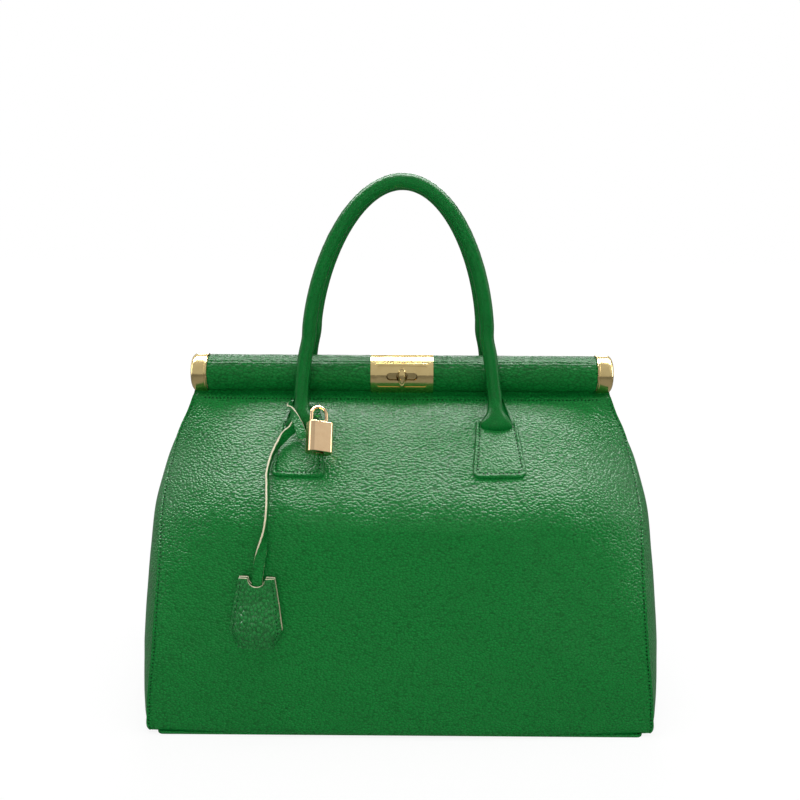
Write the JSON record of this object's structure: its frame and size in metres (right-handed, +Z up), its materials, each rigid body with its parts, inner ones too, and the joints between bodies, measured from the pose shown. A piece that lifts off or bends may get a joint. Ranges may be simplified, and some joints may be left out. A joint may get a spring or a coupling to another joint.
{
  "type": "frame-top handbag",
  "caption": "Leather handbag with a hinged frame that closes on a round bar with a turn lock, rolled handles, a padlock and a key bell on a strap.",
  "frame": {"origin": "middle of the underside of the base, on the surface the bag stands on", "axes": "+Z up, the front with the lock plate faces -Y, +X to the viewer's right as seen from the front"},
  "size_m": [0.3554, 0.182, 0.375],
  "materials": {
    "green_leather": "satin, finely pebbled",
    "tan_cloth": "matt",
    "gold_metal": "polished",
    "rose_gold_metal": "polished",
    "steel": "satin",
    "board": "matt",
    "wood": "raw"
  },
  "bodies": {
    "body": {"base_panel": "green_leather", "base_board": "board", "front_panel": "green_leather", "rear_panel": "green_leather", "left_gusset": "green_leather", "right_gusset": "green_leather", "left_gusset_fold": "green_leather", "right_gusset_fold": "green_leather", "hinge_pins": "steel", "hinge_washers": "steel", "lining": "tan_cloth", "slip_pocket": "tan_cloth", "zip_welt": "green_leather", "zip_tape": "tan_cloth"},
    "front_frame": {"front_frame_strip": "steel", "front_bar_core": "wood", "front_bar_cover": "green_leather", "front_left_cap": "gold_metal", "front_right_cap": "gold_metal", "lock_plate": "gold_metal", "front_slope": "green_leather", "front_slope_lining": "tan_cloth", "front_handle_tabs": "green_leather", "strap_loop": "green_leather"},
    "rear_frame": {"rear_frame_strip": "steel", "rear_bar_core": "wood", "rear_bar_cover": "green_leather", "rear_left_cap": "gold_metal", "rear_right_cap": "gold_metal", "rear_lock_plate": "gold_metal", "lock_base": "gold_metal", "lock_screws": "steel", "rear_slope": "green_leather", "rear_slope_lining": "tan_cloth", "rear_handle_tabs": "green_leather"},
    "turn_knob": {"turn_button": "gold_metal"},
    "front_handle_part": {"front_handle": "green_leather", "front_handle_core": "tan_cloth"},
    "rear_handle_part": {"rear_handle": "green_leather", "rear_handle_core": "tan_cloth"},
    "shackle_part": {"padlock_shackle": "rose_gold_metal"},
    "case_part": {"padlock_case": "rose_gold_metal", "padlock_plug": "rose_gold_metal"},
    "strap_part": {"key_strap": "green_leather", "keys": "gold_metal"},
    "bell_part": {"bell_front": "green_leather", "bell_back": "green_leather"},
    "slider_part": {"zip_slider": "gold_metal"}
  },
  "joints": [
    {"name": "front_frame_open", "type": "hinge", "parent": "body", "child": "front_frame", "pos_m": [0, 0, 0.178], "axis": [1, 0, 0], "range_deg": [0, 40], "deforming": ["left_gusset_fold", "right_gusset_fold"]},
    {"name": "rear_frame_open", "type": "hinge", "parent": "body", "child": "rear_frame", "pos_m": [0, 0, 0.178], "axis": [1, 0, 0], "range_deg": [-40, 0]},
    {"name": "lock_turn", "type": "hinge", "parent": "rear_frame", "child": "turn_knob", "pos_m": [0, 0, 0.237], "axis": [0, 1, 0], "range_deg": [0, 90]},
    {"name": "front_handle_tilt", "type": "hinge", "parent": "front_frame", "child": "front_handle_part", "pos_m": [0, -0.026, 0.226], "axis": [1, 0, 0], "range_deg": [0, 70]},
    {"name": "rear_handle_tilt", "type": "hinge", "parent": "rear_frame", "child": "rear_handle_part", "pos_m": [0, 0.026, 0.226], "axis": [1, 0, 0], "range_deg": [-70, 0]},
    {"name": "padlock_swing", "type": "hinge", "parent": "front_frame", "child": "shackle_part", "pos_m": [-0.056, -0.044, 0.221], "axis": [-1, 0, 0], "range_deg": [0, 70]},
    {"name": "padlock_release", "type": "slide", "parent": "shackle_part", "child": "case_part", "axis": [0, -0.5075, -0.8616], "range_m": [0, 0.0045]},
    {"name": "key_strap_hang", "type": "hinge", "parent": "front_frame", "child": "strap_part", "pos_m": [-0.0745, -0.045, 0.206], "axis": [-1, 0, 0], "range_deg": [0, 78.1]},
    {"name": "bell_slide", "type": "slide", "parent": "strap_part", "child": "bell_part", "axis": [0.0349, 0, 0.9994], "range_m": [0, 0.012]},
    {"name": "zip_slide", "type": "slide", "parent": "body", "child": "slider_part", "axis": [1, 0, 0], "range_m": [0, 0.14]}
  ],
  "couplings": [
    {"joint": "key_strap_hang", "follows": "front_frame_open", "ratio": 1.95}
  ]
}
